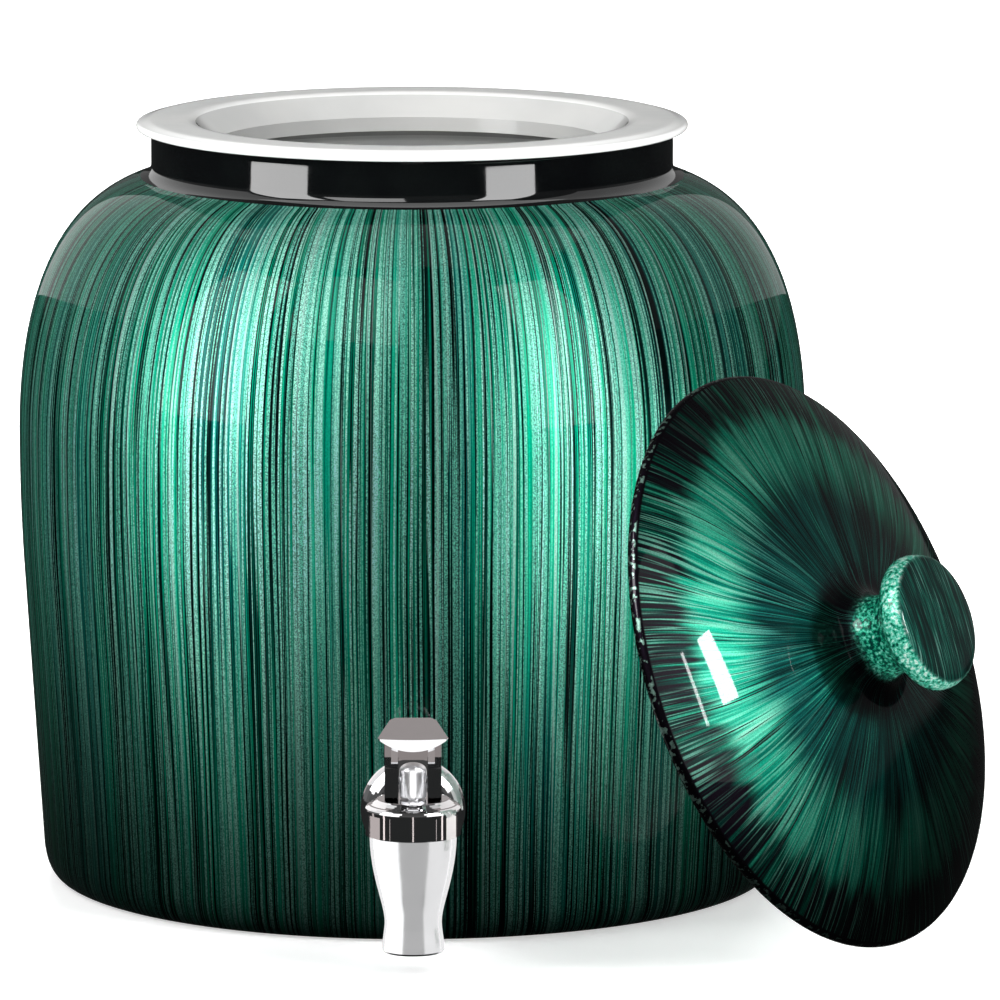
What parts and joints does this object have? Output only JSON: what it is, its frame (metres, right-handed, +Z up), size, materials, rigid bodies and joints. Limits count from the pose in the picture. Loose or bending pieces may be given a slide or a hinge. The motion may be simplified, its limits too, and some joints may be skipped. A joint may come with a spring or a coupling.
{
  "type": "water dispenser crock",
  "caption": "Round glazed ceramic countertop water dispenser with an everted rim, a sprung lever faucet low on the front and a domed knob lid leaning against its side.",
  "frame": {"origin": "centre of the crock's foot, in the plane of the table it stands on", "axes": "+Z up along the crock's axis, the faucet points to -Y, +X to the right of a person who faces the faucet"},
  "size_m": [0.3408, 0.3456, 0.2708],
  "materials": {
    "crock_glaze": "brushed green glaze under a clear gloss coat, black glazed neck band, white glazed rim and inside",
    "lid_glaze": "dark green brushed glaze with strokes that run out from the knob, clear gloss coat",
    "faucet_chrome": "polished chrome plate",
    "steel": "drawn stainless steel",
    "gasket_rubber": "matt black",
    "nut_plastic": "moulded white",
    "silicone": "translucent white, satin"
  },
  "bodies": {
    "dispenser": {"crock": "crock_glaze", "faucet_body": "faucet_chrome", "wall_escutcheon": "faucet_chrome", "outer_gasket": "gasket_rubber", "inner_gasket": "gasket_rubber", "shank_washer": "nut_plastic", "shank_nut": "nut_plastic", "bonnet": "faucet_chrome", "valve_spring": "steel", "seat_cup": "silicone"},
    "valve": {"valve_stem": "faucet_chrome"},
    "lever": {"lever_handle": "faucet_chrome", "lever_pin": "steel"},
    "lid": {"lid": "lid_glaze"}
  },
  "joints": [
    {"name": "stem_lift", "type": "slide", "parent": "dispenser", "child": "valve", "axis": [0, 0, 1], "range_m": [0, 0.00214], "deforming": ["valve_spring", "seat_cup"]},
    {"name": "lever_tilt", "type": "hinge", "parent": "valve", "child": "lever", "pos_m": [0, -0.178, 0.0662], "axis": [1, 0, 0], "range_deg": [0, 35], "stiffness_Nm_per_rad": 0.05, "springref_deg": -28.65},
    {"name": "lid_lift", "type": "slide", "parent": "dispenser", "child": "lid", "axis": [0.7835, -0.5088, 0.3567], "range_m": [0, 0.15]}
  ],
  "couplings": [
    {"joint": "lever_tilt", "follows": "stem_lift", "rad_per_m": 285.71}
  ]
}
